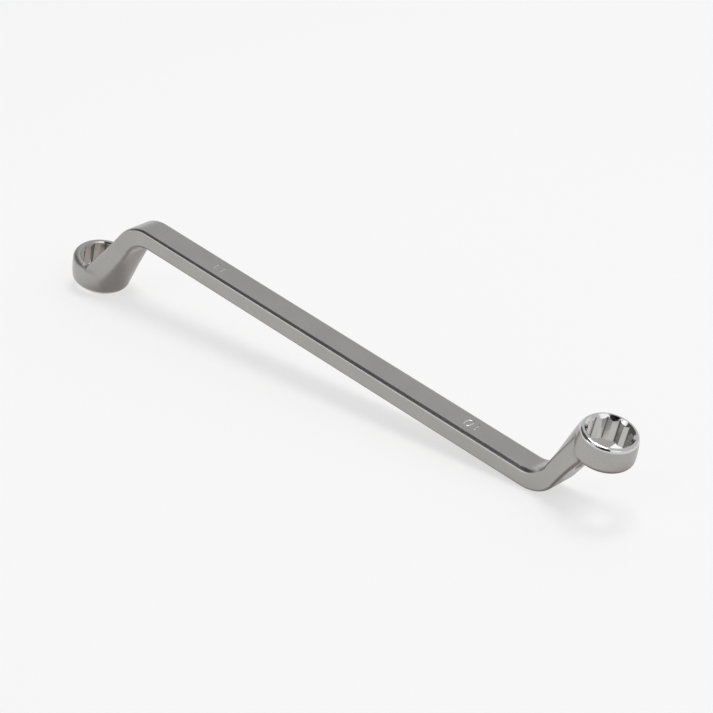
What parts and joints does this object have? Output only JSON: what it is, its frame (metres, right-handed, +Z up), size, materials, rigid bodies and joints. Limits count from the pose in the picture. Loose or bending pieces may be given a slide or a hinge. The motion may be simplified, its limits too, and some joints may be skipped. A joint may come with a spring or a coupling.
{
  "type": "ring spanner",
  "caption": "Slim ring spanner with deep offset rings, one raised and one lowered, and a twelve point socket in each, made as one forging in satin chrome.",
  "frame": {"origin": "bottom centre of the bounding box, on the surface that the spanner lies on", "axes": "+X from the 11 mm ring to the 10 mm ring, +Y across the shank, +Z up. The spanner lies as it comes to rest on a table, on the rim of the 11 mm ring and on the outside of the bend below the 10 mm ring, so the shank slopes down by 8.2 degrees towards +X"},
  "size_m": [0.1976, 0.0172, 0.0249],
  "materials": {
    "satin_chrome": "satin nickel and chrome plate over tumbled steel, ring faces ground and polished"
  },
  "bodies": {
    "root": {"spanner_forging": "satin_chrome"}
  },
  "joints": []
}
